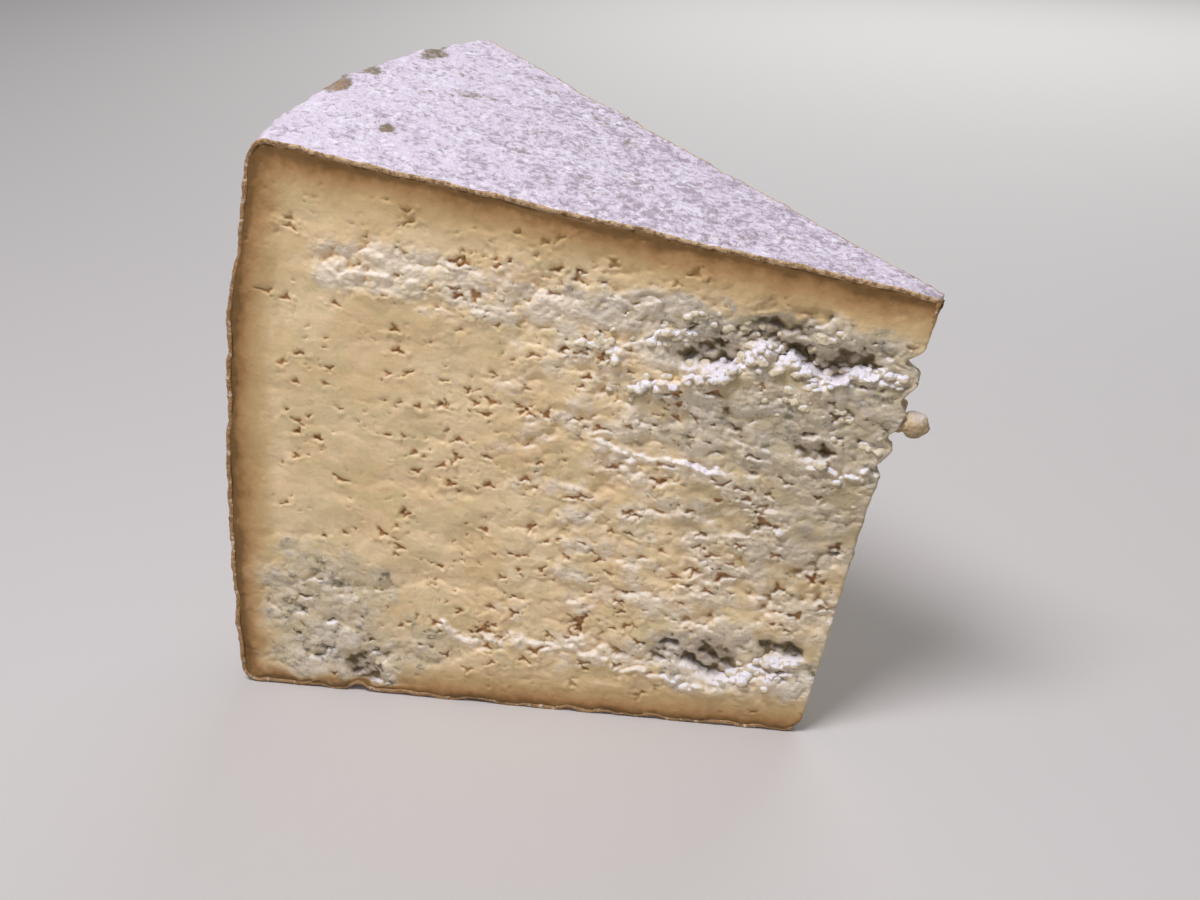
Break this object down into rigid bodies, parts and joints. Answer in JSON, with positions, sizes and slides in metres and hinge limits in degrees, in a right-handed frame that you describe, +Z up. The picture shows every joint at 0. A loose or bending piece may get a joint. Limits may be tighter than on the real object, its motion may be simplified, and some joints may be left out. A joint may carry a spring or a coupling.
{
  "type": "blue cheese wedge",
  "caption": "Tall wedge cut from a round natural-rind blue cheese, standing on the wheel's flat lower face, with a crumbly leaning nose and a thin mouldy rind.",
  "frame": {"origin": "on the flat base, under the middle of the bounding box", "axes": "+Z up from the base, +X along the front cut from the rind to the nose, +Y from the front cut back through the wedge"},
  "size_m": [0.1364, 0.0796, 0.1188],
  "materials": {
    "cheese": "cream-yellow crumbly paste with blue-grey mould, brown under-rind band and a powdery grey-white rind on the top, the curved side and the base"
  },
  "bodies": {
    "root": {"cheese_wedge": "cheese"}
  },
  "joints": []
}
